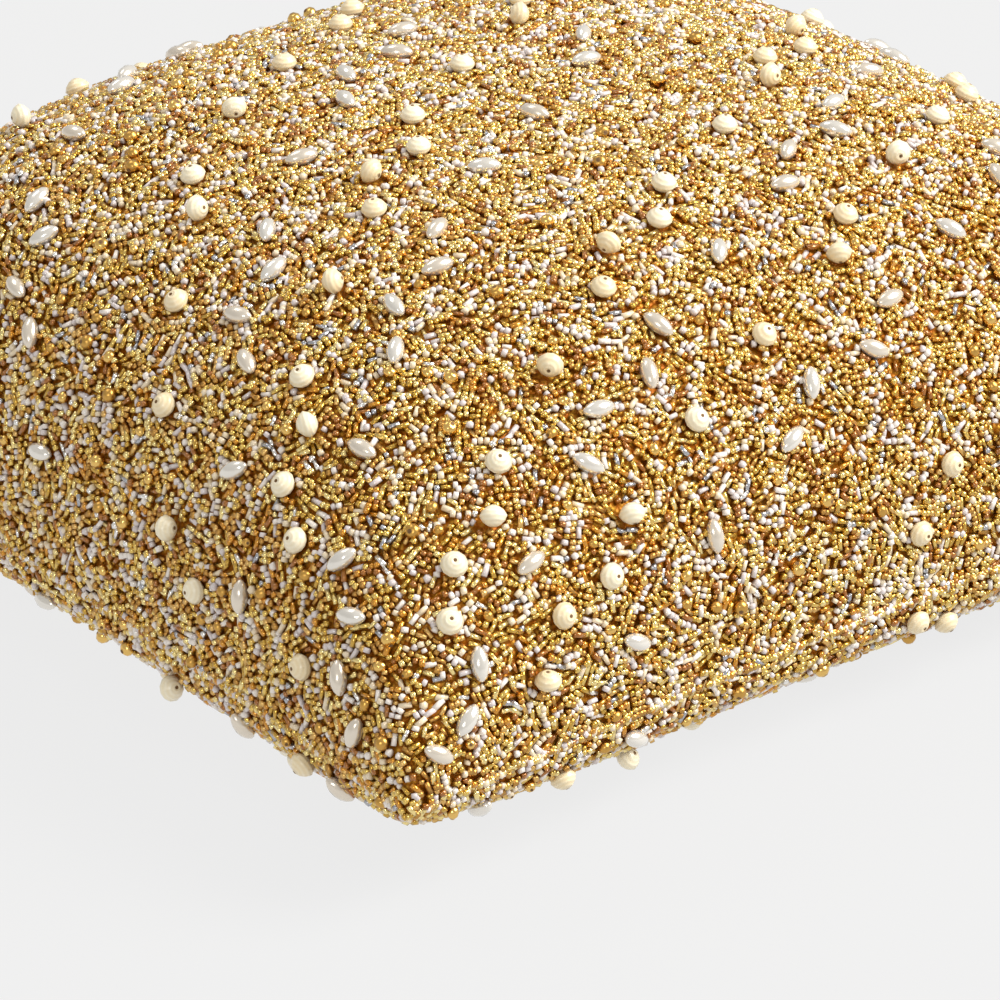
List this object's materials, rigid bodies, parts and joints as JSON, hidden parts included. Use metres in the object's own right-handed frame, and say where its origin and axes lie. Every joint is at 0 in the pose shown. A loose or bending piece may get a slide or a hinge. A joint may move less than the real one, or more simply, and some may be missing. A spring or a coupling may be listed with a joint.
{
  "type": "evening bag",
  "caption": "Plump padded clutch bag covered all over in small beads and larger pearls, with a satin lining and a metal zip along its top edge.",
  "frame": {"origin": "middle of the flat patch on the back that the bag rests on", "axes": "+X along the zip, +Y from the bottom seam up to the zip, +Z out of the front"},
  "size_m": [0.282, 0.2639, 0.1129],
  "materials": {
    "beaded_cloth": "glass beads sewn on cloth",
    "wadding": "matt",
    "satin_lining": "satin",
    "cream_pearl": "pearl",
    "ivory_shell": "polished",
    "gilt_bead": "gilt",
    "zip_tape": "woven",
    "zip_metal": "polished"
  },
  "bodies": {
    "back_half": {"back_beaded_cloth": "beaded_cloth", "back_wadding": "wadding", "back_lining": "satin_lining", "back_rice_pearls": "cream_pearl", "back_bicone_beads": "ivory_shell", "back_gilt_beads": "gilt_bead", "back_zip_tape": "zip_tape", "back_zip_teeth": "zip_metal", "back_top_stop": "zip_metal", "lining_pocket": "satin_lining", "bottom_stop": "zip_metal"},
    "front_half": {"front_beaded_cloth": "beaded_cloth", "front_wadding": "wadding", "front_lining": "satin_lining", "front_rice_pearls": "cream_pearl", "front_bicone_beads": "ivory_shell", "front_gilt_beads": "gilt_bead", "front_zip_tape": "zip_tape", "front_zip_teeth": "zip_metal", "front_top_stop": "zip_metal"},
    "zip_slider": {"slider_body": "zip_metal", "pull_pin": "zip_metal"},
    "zip_pull": {"pull_tab": "zip_metal"}
  },
  "joints": [
    {"name": "mouth_open", "type": "hinge", "parent": "back_half", "child": "front_half", "pos_m": [0, -0.13, 0.025], "axis": [1, 0, 0], "range_deg": [0, 16]},
    {"name": "zip_travel", "type": "slide", "parent": "back_half", "child": "zip_slider", "axis": [-1, 0, 0], "range_m": [0, 0.205]},
    {"name": "pull_swing", "type": "hinge", "parent": "zip_slider", "child": "zip_pull", "pos_m": [0.102, 0.1313, 0.025], "axis": [0, 0, -1], "range_deg": [0, 170]}
  ],
  "couplings": [
    {"joint": "zip_travel", "follows": "mouth_open", "m_per_rad": 0.73339}
  ]
}
